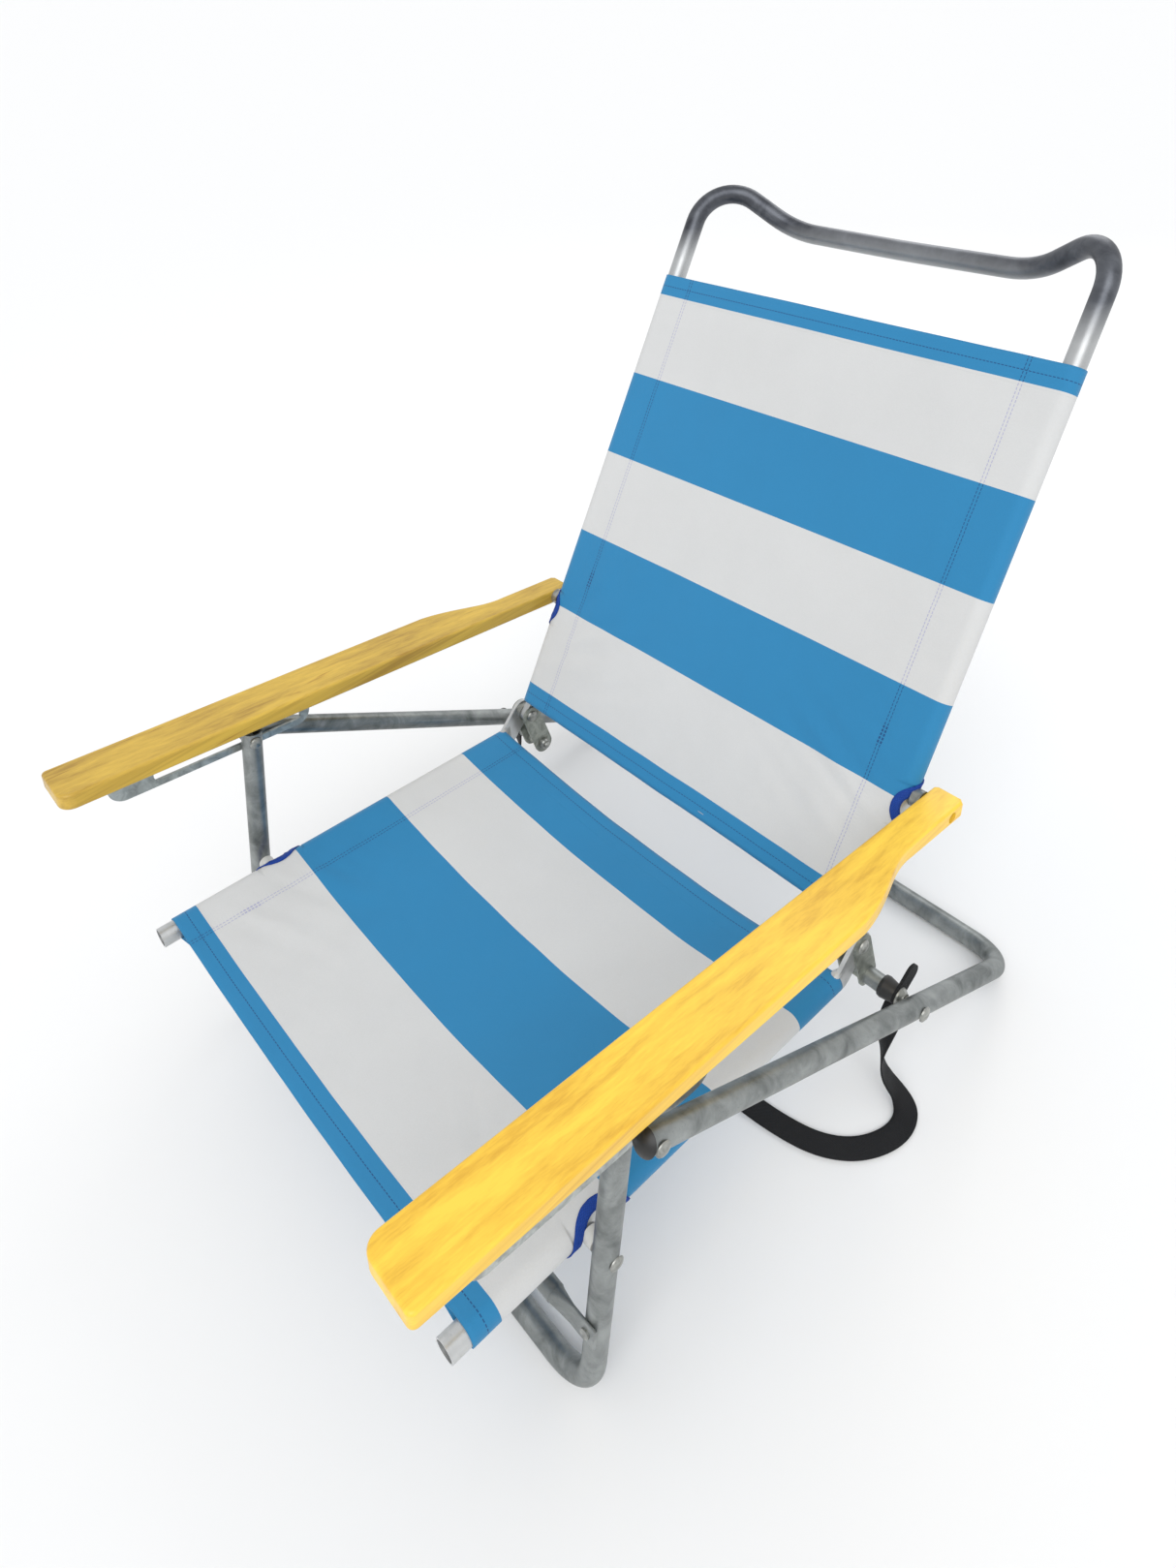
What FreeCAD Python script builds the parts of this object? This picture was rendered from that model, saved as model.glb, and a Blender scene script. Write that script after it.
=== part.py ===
import FreeCAD, Part
import math
import os

V = FreeCAD.Vector
os.makedirs("parts", exist_ok=True)

# Folding beach chair. Millimetres, +Z up, the sitter faces -Y, +X is the sitter's left.

# ---- driving sizes -------------------------------------------------------------
TUBE_R = 10.0          # all frame tubes are 20 mm aluminium tube
WALL = 1.4             # tube wall
SEAT_X = 242.0         # lateral centre of each seat tube
BACK_X = 232.5         # lateral centre of each back side tube
FRONT_LEG_X = 272.0    # lateral centre of the front leg tubes
REAR_LEG_X = 301.0     # lateral centre of the rear leg tubes

RECLINE = 33.5         # back angle from vertical
HINGE = (34.6, 171.3)          # y, z of the back hinge rivet
LEG_TOP_PIN = (-265.8, 316.1)  # front leg top, rear leg front end and arm slot
SEAT_PIN = (-299.0, 171.5)     # front leg to seat tube
FRONT_FOOT = (-339.4, TUBE_R)
REAR_FOOT = (222.6, TUBE_R)
PLATE_PIN_Y = 44.6             # lower pin of the hinge plates, on the rear leg axis

SEAT_FRONT = (-419.4, 180.3)   # open front end of the seat tube axis
SEAT_SLOPE = math.atan2(34.2, 454.0)   # the seat falls toward the back hinge
SEAT_TUBE_LENGTH = 416.0       # round part

ARM_TILT = math.radians(7.77)
ARM_THICK = 16.5
ARM_INNER_X = 251.5
ARM_WIDE_X = 304.0
ARM_NARROW_X = 281.0
ARM_FRONT = 562.0              # from the arm pivot to the front end
ARM_REAR = 19.0                # from the arm pivot to the rear end
ARM_ROUND = 2.6                # rounding of all arm edges
ARM_WAIST = (158.0, 62.0)      # the outer edge narrows between these, from the arm pivot
ARM_PIVOT_S = 146.0            # from the hinge up the back tube
SLOT_DROP = 28.6               # slot centre line below the arm mid plane
NOTCH_FIRST = 352.6            # rearmost notch, from the arm pivot
NOTCH_PITCH = 28.0
PIN_R = 4.0                    # hinge rivets, leg pins and seat pins
FIT = 0.06                     # radial play of a pin in a part that turns on it
PLAY = 0.3                     # gap between parts that turn past each other
PLATE_PIN_R = 5.0
BOLT_R = 3.5

FABRIC = 1.2
SLEEVE_GAP = 0.3

# ---- small helpers -------------------------------------------------------------


def save(node, shape):
    """Write one part and say what it is."""
    shape = shape.removeSplitter() if len(shape.Solids) == 1 else shape
    solids = len(shape.Solids)
    print(node, "solids", solids, "volume", round(shape.Volume, 1), "valid", shape.isValid())
    shape.exportStep("parts/" + node + ".step")


def save_pair(node, shape):
    """Write the left part as built and the right part as its mirror image."""
    save(node + "_left", shape)
    save(node + "_right", shape.mirror(V(0, 0, 0), V(1, 0, 0)))


def turn_between(a, b, c):
    """Turn angle at b on the way from a to c."""
    return (b - a).getAngle(c - b)


def ring_section(centre, direction, outer, bore):
    """Round section square to a direction, open in the middle when it has a bore."""
    face = Part.Face(Part.Wire([Part.makeCircle(outer, centre, direction)]))
    if bore > 0:
        face = face.cut(Part.Face(Part.Wire([Part.makeCircle(bore, centre, direction)])))
    return face


def pipe(points, radii, outer, bore=0.0):
    """Round bar or tube of straight runs and tangent bends; radii belong to the inner points.

    Returns the shape and the length of its centre line.
    """
    pieces = []
    length = 0.0
    start = points[0]
    for i in range(1, len(points) - 1):
        a, b, c = points[i - 1], points[i], points[i + 1]
        turn = turn_between(a, b, c)
        cut = radii[i - 1] * math.tan(turn / 2)
        into = (b - a).normalize()
        out = (c - b).normalize()
        first = b - into * cut
        pieces.append(ring_section(start, into, outer, bore).extrude(first - start))
        centre = b + (out - into).normalize() * (radii[i - 1] / math.cos(turn / 2))
        bend = ring_section(first, into, outer, bore).revolve(centre, into.cross(out), math.degrees(turn))
        pieces.append(bend)
        length += (first - start).Length + radii[i - 1] * turn
        start = b + out * cut
    last = points[-1] - start
    pieces.append(ring_section(start, last, outer, bore).extrude(last))
    return pieces[0].fuse(pieces[1:]).removeSplitter(), length + last.Length


def tube(points, radii):
    """Frame tube along a rounded path."""
    return pipe(points, radii, TUBE_R, TUBE_R - WALL)[0]


def rod(x0, x1, y, z, radius):
    """Cylinder along X."""
    return Part.makeCylinder(radius, x1 - x0, V(x0, y, z), V(1, 0, 0))


def both_sides(x0, x1, y, z, radius):
    """A pair of mirrored cylinders along X."""
    return [rod(x0, x1, y, z, radius), rod(-x1, -x0, y, z, radius)]


def washer(x0, x1, y, z, outer, inner):
    """Ring along X."""
    return rod(x0, x1, y, z, outer).cut(rod(x0 - 1, x1 + 1, y, z, inner))


def turned(y, z, profile):
    """Solid of revolution about an X-parallel axis; profile is a list of (x, radius)."""
    points = [V(x, y, z + r) for x, r in profile]
    points = [V(profile[0][0], y, z)] + points + [V(profile[-1][0], y, z)]
    face = Part.Face(Part.makePolygon(points + [points[0]]))
    return face.revolve(V(0, y, z), V(1, 0, 0), 360)


def dome(x, height, radius, steps=5):
    """Profile points of a domed head that starts at x and rises by height (signed)."""
    rows = []
    for i in range(steps + 1):
        angle = math.pi / 2 * i / steps
        rows.append((x + height * math.sin(angle), max(radius * math.cos(angle), 0.6)))
    return rows


def obround(x0, x1, start, end, radius):
    """Plate in a plane of constant X with round ends about two (y, z) points."""
    a = V(x0, start[0], start[1])
    b = V(x0, end[0], end[1])
    along = (b - a).normalize()
    side = V(1, 0, 0).cross(along)
    edges = [
        Part.LineSegment(a + side * radius, b + side * radius).toShape(),
        Part.Arc(b + side * radius, b + along * radius, b - side * radius).toShape(),
        Part.LineSegment(b - side * radius, a - side * radius).toShape(),
        Part.Arc(a - side * radius, a - along * radius, a + side * radius).toShape(),
    ]
    return Part.Face(Part.Wire(edges)).extrude(V(x1 - x0, 0, 0))


def seat_point(x, t, lift=0.0):
    """Point on the seat tube line: t from the front end, lift square to the seat."""
    y = SEAT_FRONT[0] + t * math.cos(SEAT_SLOPE) + lift * math.sin(SEAT_SLOPE)
    z = SEAT_FRONT[1] - t * math.sin(SEAT_SLOPE) + lift * math.cos(SEAT_SLOPE)
    return V(x, y, z)


def back_point(x, s, rear=0.0):
    """Point in the back frame: s up from the hinge, rear square to the back."""
    lean = math.radians(RECLINE)
    y = HINGE[0] + s * math.sin(lean) + rear * math.cos(lean)
    z = HINGE[1] + s * math.cos(lean) - rear * math.sin(lean)
    return V(x, y, z)


ARM_PIVOT = back_point(0, ARM_PIVOT_S)


def arm_point(x, a, h=0.0):
    """Point in the arm frame: a forward from the pivot, h square above the mid plane."""
    y = ARM_PIVOT.y - a * math.cos(ARM_TILT) + h * math.sin(ARM_TILT)
    z = ARM_PIVOT.z + a * math.sin(ARM_TILT) + h * math.cos(ARM_TILT)
    return V(x, y, z)


def rear_leg_z(y):
    """Height of the rear leg axis at y."""
    k = (y - LEG_TOP_PIN[0]) / (REAR_FOOT[0] - LEG_TOP_PIN[0])
    return LEG_TOP_PIN[1] + k * (REAR_FOOT[1] - LEG_TOP_PIN[1])


PLATE_PIN = (PLATE_PIN_Y, rear_leg_z(PLATE_PIN_Y))

# lateral stack of the hinge, inner side to outer side
INNER_PLATE = (226.9, 229.2)
LUG = (229.5, 238.0)
HINGE_WASHER = (238.3, 244.3)
HINGE_WASHER_R = 11.0
SEAT_TAB = (244.6, 248.6)
OUTER_PLATE = (248.6, 250.9)
SPACER_TUBE = (250.9, 267.0)
PLASTIC_SPACER = (267.0, 282.0)
STRAP_TAB = (282.0, 285.0)
DOME_WASHER = (285.0, REAR_LEG_X - TUBE_R - PLAY)
REAR_OUTER = REAR_LEG_X + TUBE_R
BRACKET = (285.0, 288.0)

# ---- back frame ----------------------------------------------------------------
CROSS_S = 23.0                 # cross tube of the back, up from the hinge
LUG_R = 9.0
BACK_TOP_S = 660.0             # where the side tube would meet the handle line
HANDLE_S = 624.0
HANDLE_INSET = 92.0            # handle corner, in from the side tube
HANDLE_REAR = (58.0, 64.0)     # handle behind the back plane at its corners and its middle
CORNER_BEND = 34.0
TOP_BENDS = (42.0, 90.0)
HANDLE_BEND = 600.0


def back_loop(outer, bore=0.0):
    """Closed loop of the back frame, starting and ending in the middle of the cross tube."""
    left = [
        back_point(BACK_X, CROSS_S),
        back_point(BACK_X, BACK_TOP_S),
        back_point(BACK_X - HANDLE_INSET, HANDLE_S, HANDLE_REAR[0]),
    ]
    right = [V(-p.x, p.y, p.z) for p in reversed(left)]
    middle = back_point(0, CROSS_S)
    points = [middle] + left + [back_point(0, HANDLE_S, HANDLE_REAR[1])] + right + [middle]
    side_bends = [CORNER_BEND, *TOP_BENDS]
    return pipe(points, side_bends + [HANDLE_BEND] + side_bends[::-1], outer, bore)[0]


def back_lug(radius, grow=0.0):
    """Ear that carries the hinge rivet on the lower corner of the back frame."""
    top = back_point(0, 34.0, 8.0)
    return obround(LUG[0] - grow, LUG[1] + grow, HINGE, (top.y, top.z), radius)


def make_back_frame():
    lug = back_lug(LUG_R)
    lugs = lug.fuse(lug.mirror(V(0, 0, 0), V(1, 0, 0))).cut(back_loop(TUBE_R - 0.4))
    frame = back_loop(TUBE_R, TUBE_R - WALL).fuse(lugs)
    for y, z, radius in ((*HINGE, PIN_R + FIT), (ARM_PIVOT.y, ARM_PIVOT.z, BOLT_R + FIT)):
        for hole in both_sides(215, 250, y, z, radius):
            frame = frame.cut(hole)
    save("back_frame", frame)


# ---- seat tubes ----------------------------------------------------------------


def stadium(centre, up, side, half_height, half_width):
    """Closed outline with two straight sides along up and two rounded ends."""
    corner = half_width * 0.98
    top = centre + up * (half_height - corner)
    low = centre - up * (half_height - corner)
    edges = [
        Part.LineSegment(low + side * half_width, top + side * half_width).toShape(),
        Part.Arc(top + side * half_width, top + up * corner, top - side * half_width).toShape(),
        Part.LineSegment(top - side * half_width, low - side * half_width).toShape(),
        Part.Arc(low - side * half_width, low - up * corner, low + side * half_width).toShape(),
    ]
    return Part.Wire(edges)


def seat_tube_section(x, t, half_height, half_width):
    """Section of the seat tube end square to the seat line."""
    up = seat_point(0, 0, 1.0) - seat_point(0, 0, 0.0)
    return stadium(seat_point(x, t), up, V(1, 0, 0), half_height, half_width)


def make_seat_tubes():
    along = (seat_point(0, 1) - seat_point(0, 0)).normalize()
    body = Part.makeCylinder(TUBE_R, SEAT_TUBE_LENGTH, seat_point(SEAT_X, 0), along)
    bore = Part.makeCylinder(TUBE_R - WALL, SEAT_TUBE_LENGTH - 6, seat_point(SEAT_X, -1), along)
    tab_x = (SEAT_TAB[0] + SEAT_TAB[1]) / 2
    sections = [
        seat_tube_section(SEAT_X, SEAT_TUBE_LENGTH - 2.0, 9.9, 9.7),
        seat_tube_section((SEAT_X + tab_x) / 2, SEAT_TUBE_LENGTH + 7.0, 12.2, 5.5),
        seat_tube_section(tab_x, SEAT_TUBE_LENGTH + 16.0, 13.0, 2.0),
    ]
    throat = Part.makeLoft(sections, True)
    start = seat_point(tab_x, SEAT_TUBE_LENGTH + 14.0)
    tab = obround(SEAT_TAB[0], SEAT_TAB[1], (start.y, start.z), HINGE, 13.0)
    shape = body.cut(bore).fuse([throat, tab])
    shape = shape.cut(rod(240, 252, HINGE[0], HINGE[1], PIN_R + FIT))
    shape = shape.cut(rod(225, 255, SEAT_PIN[0], SEAT_PIN[1], PIN_R + FIT))
    save_pair("seat_tube", shape)


# ---- legs ----------------------------------------------------------------------


def beyond(start, end, extra):
    """Point on the line from end through start, extra past start."""
    dy, dz = start[0] - end[0], start[1] - end[1]
    length = math.hypot(dy, dz)
    return (start[0] + dy / length * extra, start[1] + dz / length * extra)


def u_frame(x, top, foot, bend):
    """U of tube: down one side, across the floor, up the other side."""
    points = [V(x, *top), V(x, *foot), V(-x, *foot), V(-x, *top)]
    return tube(points, [bend, bend])


FRONT_LEG_PAST = 9.0           # leg tubes beyond the leg top pin
REAR_LEG_PAST = 8.0
FRONT_LEG_BEND = 42.0
REAR_LEG_BEND = 40.0


def make_front_leg():
    top = beyond(LEG_TOP_PIN, FRONT_FOOT, FRONT_LEG_PAST)
    frame = u_frame(FRONT_LEG_X, top, FRONT_FOOT, FRONT_LEG_BEND)
    for y, z in (LEG_TOP_PIN, SEAT_PIN):
        for hole in both_sides(255, 290, y, z, PIN_R):
            frame = frame.cut(hole)
    for side in (1, -1):
        frame = frame.cut(brace_rivet_hole(side))
    save("front_leg", frame)


def leg_frame_point(x, up, front=0.0):
    """Point in the front leg plane: up from the foot bar, front square to the plane."""
    dy, dz = LEG_TOP_PIN[0] - FRONT_FOOT[0], LEG_TOP_PIN[1] - FRONT_FOOT[1]
    length = math.hypot(dy, dz)
    y = FRONT_FOOT[0] + up * dy / length - front * dz / length
    z = FRONT_FOOT[1] + up * dz / length + front * dy / length
    return V(x, y, z)


BRACE_UP = 90.0                # brace above the foot bar, along the leg
BRACE_FRONT = TUBE_R + 1.6     # brace axis in front of the leg axis
BRACE_R = 8.0
BRACE_WALL = 1.2
BRACE_RIVET_R = 2.5
FRONT_DIRECTION = leg_frame_point(0, 0, 1.0) - leg_frame_point(0, 0, 0.0)
UP_DIRECTION = leg_frame_point(0, 1.0) - leg_frame_point(0, 0.0)


def brace_rivet_hole(side):
    """Bore through brace end and leg wall."""
    start = leg_frame_point(side * FRONT_LEG_X, BRACE_UP, 2.0)
    return Part.makeCylinder(BRACE_RIVET_R, 14.0, start, FRONT_DIRECTION)


def brace_section(x, half_up, half_front):
    """Section of the pressed brace end square to X."""
    centre = leg_frame_point(x, BRACE_UP, BRACE_FRONT)
    return stadium(centre, UP_DIRECTION, FRONT_DIRECTION, half_up, half_front)


def make_front_brace():
    """Thin cross tube with both ends pressed flat against the legs."""
    end = FRONT_LEG_X - 36.0
    start = leg_frame_point(-end, BRACE_UP, BRACE_FRONT)
    shape = ring_section(start, V(1, 0, 0), BRACE_R, BRACE_R - BRACE_WALL)
    shape = shape.extrude(V(2 * end, 0, 0))
    for side in (1, -1):
        sections = [
            brace_section(side * end, 7.7, 7.7),
            brace_section(side * (end + 10.0), 9.4, 4.0),
            brace_section(side * (end + 20.0), 10.6, 1.5),
        ]
        flat = Part.Face(sections[-1]).extrude(V(side * 25.0, 0, 0))
        shape = shape.fuse([Part.makeLoft(sections, True), flat])
        shape = shape.cut(brace_rivet_hole(side))
    save("front_brace", shape)


def make_brace_rivets():
    start = leg_frame_point(FRONT_LEG_X, BRACE_UP, TUBE_R - 3.5)
    shank = Part.makeCylinder(BRACE_RIVET_R, 6.7, start, FRONT_DIRECTION)
    seat = leg_frame_point(FRONT_LEG_X, BRACE_UP, BRACE_FRONT + 1.5)
    head = Part.makeCylinder(4.5, 1.4, seat, FRONT_DIRECTION)
    save_pair("brace_rivet", shank.fuse(head).removeSplitter())


def make_rear_leg():
    front = beyond(LEG_TOP_PIN, REAR_FOOT, REAR_LEG_PAST)
    frame = u_frame(REAR_LEG_X, front, REAR_FOOT, REAR_LEG_BEND)
    for y, z, radius in ((*LEG_TOP_PIN, PIN_R), (*PLATE_PIN, PLATE_PIN_R)):
        for hole in both_sides(285, 315, y, z, radius):
            frame = frame.cut(hole)
    save("rear_leg", frame)


CAP_R = 10.8
CAP_RISE = 4.6
CAP_BALL_R = 14.5              # roundness of the cap face


def make_rear_caps():
    front = beyond(LEG_TOP_PIN, REAR_FOOT, REAR_LEG_PAST)
    a = V(REAR_LEG_X, *front)
    back = V(REAR_LEG_X, *LEG_TOP_PIN)
    out = (a - back).normalize()
    ball = Part.makeSphere(CAP_BALL_R, a + out * (CAP_RISE - CAP_BALL_R))
    head = ball.common(Part.makeCylinder(CAP_R, 8.0, a, out))
    plug = Part.makeCylinder(TUBE_R - WALL, 3.5, a - out * 3.5, out)
    save_pair("rear_leg_cap", head.fuse(plug))


# ---- hinge hardware ------------------------------------------------------------


def make_hinge_plates():
    for name, span in (("hinge_plate_inner", INNER_PLATE), ("hinge_plate_outer", OUTER_PLATE)):
        plate = obround(span[0], span[1], HINGE, PLATE_PIN, 12.0)
        plate = plate.cut(rod(220, 255, HINGE[0], HINGE[1], PIN_R + FIT))
        plate = plate.cut(rod(220, 255, PLATE_PIN[0], PLATE_PIN[1], PLATE_PIN_R))
        save_pair(name, plate)


def make_hinge_rivets():
    y, z = HINGE
    inner, outer = INNER_PLATE[0] - PLAY, OUTER_PLATE[1] + PLAY
    profile = [(inner - 3.3, 1.0), (inner - 2.7, 4.2), (inner - 1.3, 6.4), (inner, 7.0), (inner, PIN_R),
               (outer, PIN_R), (outer, 7.0), (outer + 1.3, 6.4), (outer + 2.7, 4.2), (outer + 3.3, 1.0)]
    save_pair("hinge_rivet", turned(y, z, profile))
    save_pair("hinge_washer", washer(HINGE_WASHER[0], HINGE_WASHER[1], y, z, HINGE_WASHER_R, PIN_R))


def make_plate_pins():
    """Headed pin through both plates; its outer half is riveted in the rear leg."""
    y, z = PLATE_PIN
    x0, x1 = INNER_PLATE[0], DOME_WASHER[1]
    profile = [(x0 - 8.4, 1.0), (x0 - 7.6, 3.0), (x0 - 6.3, 4.0), (x0 - 4.9, 4.2), (x0 - 4.9, 6.0),
               (x0 - 2.9, 7.0), (x0, 7.4), (x0, PLATE_PIN_R), (x1, PLATE_PIN_R)]
    save_pair("plate_pin", turned(y, z, profile))
    save_pair("hinge_bush", washer(INNER_PLATE[1], OUTER_PLATE[0], y, z, 8.0, PLATE_PIN_R))
    save_pair("spacer_tube", washer(SPACER_TUBE[0], SPACER_TUBE[1], y, z, 8.6, PLATE_PIN_R))
    outer = REAR_OUTER
    profile = [(outer - 2 * TUBE_R, PLATE_PIN_R), (outer, PLATE_PIN_R), (outer, 7.5), (outer + 1.6, 7.0),
               (outer + 3.2, 3.5), (outer + 3.6, 1.0)]
    save_pair("rear_leg_rivet", turned(y, z, profile))


def make_plastic_spacers():
    y, z = PLATE_PIN
    x0, x1 = PLASTIC_SPACER
    profile = [(x0, 10.4), (x0 + 3.0, 11.0), (x1 - 4.0, 9.6), (x1, 8.8)]
    save_pair("plastic_spacer", turned(y, z, profile).cut(rod(x0 - 1, x1 + 1, y, z, PLATE_PIN_R)))
    x0, x1 = DOME_WASHER
    profile = [(x0, 9.4), (x0 + 1.6, 9.0), (x1 - 1.0, 6.6), (x1, 6.2)]
    save_pair("dome_washer", turned(y, z, profile).cut(rod(x0 - 1, x1 + 1, y, z, PLATE_PIN_R)))


def make_strap_tabs():
    y, z = PLATE_PIN
    tip = (y + 19.0, z + 13.0)
    tab = obround(STRAP_TAB[0], STRAP_TAB[1], (y, z), tip, 9.5)
    save_pair("strap_tab", tab.cut(rod(280, 287, y, z, PLATE_PIN_R)))


# ---- pivots at the leg top, the seat and the arm -------------------------------


def make_leg_pins():
    """Leg top pivot in two halves, one each side of the notched bracket."""
    y, z = LEG_TOP_PIN
    x0, x1 = FRONT_LEG_X - TUBE_R, BRACKET[0] - PLAY
    save_pair("leg_pin", turned(y, z, dome(x0, -3.2, 6.5)[::-1] + [(x0, PIN_R), (x1, PIN_R)]))
    save_pair("leg_washer_inner", washer(FRONT_LEG_X + TUBE_R, x1, y, z, 8.0, PIN_R))
    x0, x1 = BRACKET[1] + PLAY, REAR_OUTER
    save_pair("leg_rivet", turned(y, z, [(x0, PIN_R), (x1, PIN_R)] + dome(x1, 3.0, 6.5)))
    save_pair("leg_washer_outer", washer(x0, REAR_LEG_X - TUBE_R, y, z, 8.0, PIN_R))


def make_seat_pins():
    y, z = SEAT_PIN
    x0, x1 = SEAT_X - TUBE_R - PLAY, FRONT_LEG_X + TUBE_R
    profile = dome(x0, -2.2, 6.0)[::-1] + [(x0, PIN_R), (x1, PIN_R)] + dome(x1, 2.6, 6.5)
    save_pair("seat_pin", turned(y, z, profile))
    gap = (SEAT_X + TUBE_R + PLAY, FRONT_LEG_X - TUBE_R)
    save_pair("seat_spacer", washer(gap[0], gap[1], y, z, 7.5, PIN_R))


BOLT_HEAD_X = 275.0
BOLT_HEAD_R = 4.6
BOLT_RECESS_R = 5.2


def make_arm_bolts():
    y, z = ARM_PIVOT.y, ARM_PIVOT.z
    x0 = BACK_X - TUBE_R - PLAY
    profile = [(x0 - 3.0, 1.0), (x0 - 2.2, 4.0), (x0, 5.4), (x0, BOLT_R), (BOLT_HEAD_X, BOLT_R),
               (BOLT_HEAD_X, BOLT_HEAD_R), (BOLT_HEAD_X + 3.0, BOLT_HEAD_R - 0.6), (BOLT_HEAD_X + 3.6, 1.0)]
    save_pair("arm_bolt", turned(y, z, profile))
    save_pair("arm_washer", washer(BACK_X + TUBE_R + PLAY, ARM_INNER_X - PLAY, y, z, 9.0, BOLT_R))


# ---- arms ----------------------------------------------------------------------


def arm_outline():
    """Closed outline of the arm board in its mid plane."""
    inner, wide, narrow = ARM_INNER_X, ARM_WIDE_X, ARM_NARROW_X
    r_in, r_out = 13.0, 5.0
    d = 0.7071
    corner = [
        V(inner, ARM_FRONT - r_in, 0),
        V(inner + r_in * (1 - d), ARM_FRONT - r_in * (1 - d), 0),
        V(inner + r_in, ARM_FRONT, 0),
        V(wide - r_out, ARM_FRONT, 0),
        V(wide - r_out * (1 - d), ARM_FRONT - r_out * (1 - d), 0),
        V(wide, ARM_FRONT - r_out, 0),
    ]
    s_curve = Part.BSplineCurve()
    s_curve.interpolate([
        V(wide, ARM_WAIST[0], 0), V(wide - 3.0, 139.0, 0), V((wide + narrow) / 2, 111.0, 0),
        V(narrow + 2.5, 84.0, 0), V(narrow, ARM_WAIST[1], 0)])
    edges = [
        Part.LineSegment(V(inner, 3.0 - ARM_REAR, 0), corner[0]).toShape(),
        Part.Arc(corner[0], corner[1], corner[2]).toShape(),
        Part.LineSegment(corner[2], corner[3]).toShape(),
        Part.Arc(corner[3], corner[4], corner[5]).toShape(),
        Part.LineSegment(corner[5], V(wide, ARM_WAIST[0], 0)).toShape(),
        s_curve.toShape(),
        Part.LineSegment(V(narrow, ARM_WAIST[1], 0), V(narrow, 4.0 - ARM_REAR, 0)).toShape(),
        Part.LineSegment(V(narrow, 4.0 - ARM_REAR, 0), V(narrow - 4.0, -ARM_REAR, 0)).toShape(),
        Part.LineSegment(V(narrow - 4.0, -ARM_REAR, 0), V(inner + 3.0, -ARM_REAR, 0)).toShape(),
        Part.LineSegment(V(inner + 3.0, -ARM_REAR, 0), V(inner, 3.0 - ARM_REAR, 0)).toShape(),
    ]
    return Part.Wire(edges)


def flange_box():
    """Bracket flange, let in flush with the underside of the arm."""
    return Part.makeBox(BRACKET[1] - FLANGE_X, BRACKET_FRONT - BRACKET_REAR, FLANGE_THICK,
                        V(FLANGE_X, BRACKET_REAR, -ARM_THICK / 2))


def make_arms():
    board = Part.Face(arm_outline()).extrude(V(0, 0, ARM_THICK))
    board.translate(V(0, 0, -ARM_THICK / 2))
    rim = [e for e in board.Edges if abs(abs(e.CenterOfMass.z) - ARM_THICK / 2) < 0.01]
    board = board.makeFillet(ARM_ROUND, rim)
    bore = Part.makeCylinder(BOLT_R + FIT, 80, V(240, 0, 0), V(1, 0, 0))
    recess = Part.makeCylinder(BOLT_RECESS_R, 30, V(BOLT_HEAD_X - PLAY, 0, 0), V(1, 0, 0))
    board = board.cut(bore).cut(recess).cut(flange_box())
    for a in SCREW_AT:
        board = board.cut(bracket_screw(a))
    save_pair("arm", placed_on_arm(board))


def placed_on_arm(shape):
    """Place a shape drawn as (x, forward, up) on the left arm."""
    origin = arm_point(0, 0)
    tilt = math.degrees(ARM_TILT)
    flipped = shape.mirror(V(0, 0, 0), V(0, 1, 0))
    flipped.rotate(V(0, 0, 0), V(1, 0, 0), -tilt)
    flipped.translate(origin)
    return flipped


# ---- notched brackets under the arms -------------------------------------------
NOTCHES = 5
SLOT_REAR = 326.0
SLOT_FRONT = NOTCH_FIRST + (NOTCHES - 1) * NOTCH_PITCH + 5.0
BRACKET_REAR = 311.0
BRACKET_FRONT = 517.0
FLANGE_X = 268.0
FLANGE_THICK = 2.2
SCREW_X = 276.0
SCREW_R = 1.8
SCREW_AT = (338.0, 490.0)      # from the arm pivot
NOTCH_R = PIN_R + 0.6
SLOT_LOW = SLOT_DROP + 10.4
TOOTH_TIP = SLOT_DROP + 1.8


def slot_box(a0, a1, h0, h1):
    """Box cutter in bracket coordinates."""
    return Part.makeBox(10, a1 - a0, h1 - h0, V(BRACKET[0] - 3, a0, h0))


def slot_round(a, h, radius):
    """Round cutter in bracket coordinates."""
    return Part.makeCylinder(radius, 10, V(BRACKET[0] - 3, a, h), V(1, 0, 0))


def make_slot():
    """Slot with five round-topped notches along its upper side."""
    tools = [slot_box(SLOT_REAR, SLOT_FRONT, -SLOT_LOW, -TOOTH_TIP)]
    mid = -(SLOT_LOW + TOOTH_TIP) / 2
    half = (SLOT_LOW - TOOTH_TIP) / 2
    tools.append(slot_round(SLOT_REAR, mid, half))
    tools.append(slot_round(SLOT_FRONT, mid, half))
    for i in range(NOTCHES):
        a = NOTCH_FIRST + i * NOTCH_PITCH
        tools.append(slot_round(a, -SLOT_DROP, NOTCH_R))
        tools.append(slot_box(a - NOTCH_R, a + NOTCH_R, -TOOTH_TIP - 1, -SLOT_DROP))
        tools.append(slot_round(a, -TOOTH_TIP - 3.0, 10.0).common(
            slot_box(a - 12, a + 12, -SLOT_LOW, -SLOT_DROP + 2.5)))
    slot = tools[0]
    for tool in tools[1:]:
        slot = slot.fuse(tool)
    return slot


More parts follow.
